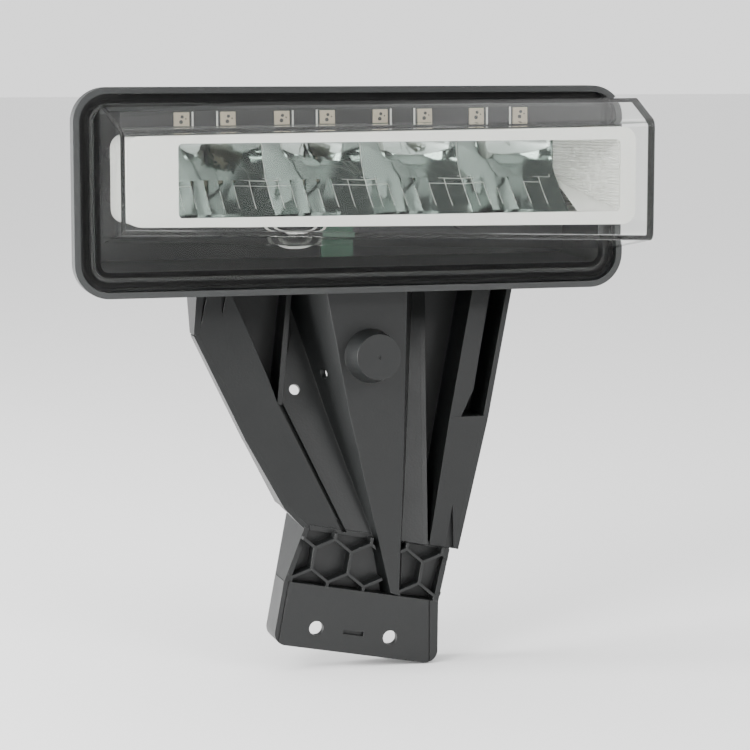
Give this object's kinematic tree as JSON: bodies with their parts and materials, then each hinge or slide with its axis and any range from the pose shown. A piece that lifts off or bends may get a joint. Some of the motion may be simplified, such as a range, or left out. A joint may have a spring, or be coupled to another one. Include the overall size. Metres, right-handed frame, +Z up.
{
  "type": "auxiliary driving light",
  "caption": "Auxiliary driving light: deep clear lens over a row of reflector bowls, on a ribbed bracket with a honeycomb neck and a sloped bolt-on foot.",
  "frame": {"origin": "midway between the two bolt holes of the foot, on the foot's front face", "axes": "-Y the way the light shines and the bolt holes point, +Z up, +X towards the fluted end of the lamp"},
  "size_m": [0.264, 0.127, 0.2762],
  "materials": {
    "bracket_plastic": "matte moulded",
    "housing_plastic": "satin moulded",
    "lens_clear": "clear polished",
    "seal_rubber": "soft",
    "reflector_mirror": "metallised",
    "bezel_bright": "pale metallised",
    "board_green": "solder mask",
    "led_cream": "moulded package",
    "trim_dark": "satin moulded",
    "heat_sink_metal": "die cast",
    "component_black": "moulded",
    "wire_white": "insulated",
    "socket_plastic": "moulded",
    "pin_metal": "plated",
    "screw_steel": "zinc plated"
  },
  "bodies": {
    "root": {"bracket": "bracket_plastic", "housing": "housing_plastic", "lens": "lens_clear", "lens_seal": "seal_rubber", "reflector": "reflector_mirror", "bezel": "bezel_bright", "led_board": "board_green", "main_leds": "led_cream", "heat_sink": "heat_sink_metal", "running_light_board": "board_green", "running_light_leds": "led_cream", "running_light_trim": "trim_dark", "driver_board": "board_green", "driver_components": "component_black", "jumper_wires": "wire_white", "connector_gasket": "seal_rubber", "connector_socket": "socket_plastic", "terminal_pins": "pin_metal", "vent_cap": "seal_rubber", "reflector_screws": "screw_steel", "heat_sink_screws": "screw_steel", "driver_board_screws": "screw_steel", "bracket_screws": "screw_steel"}
  },
  "joints": []
}
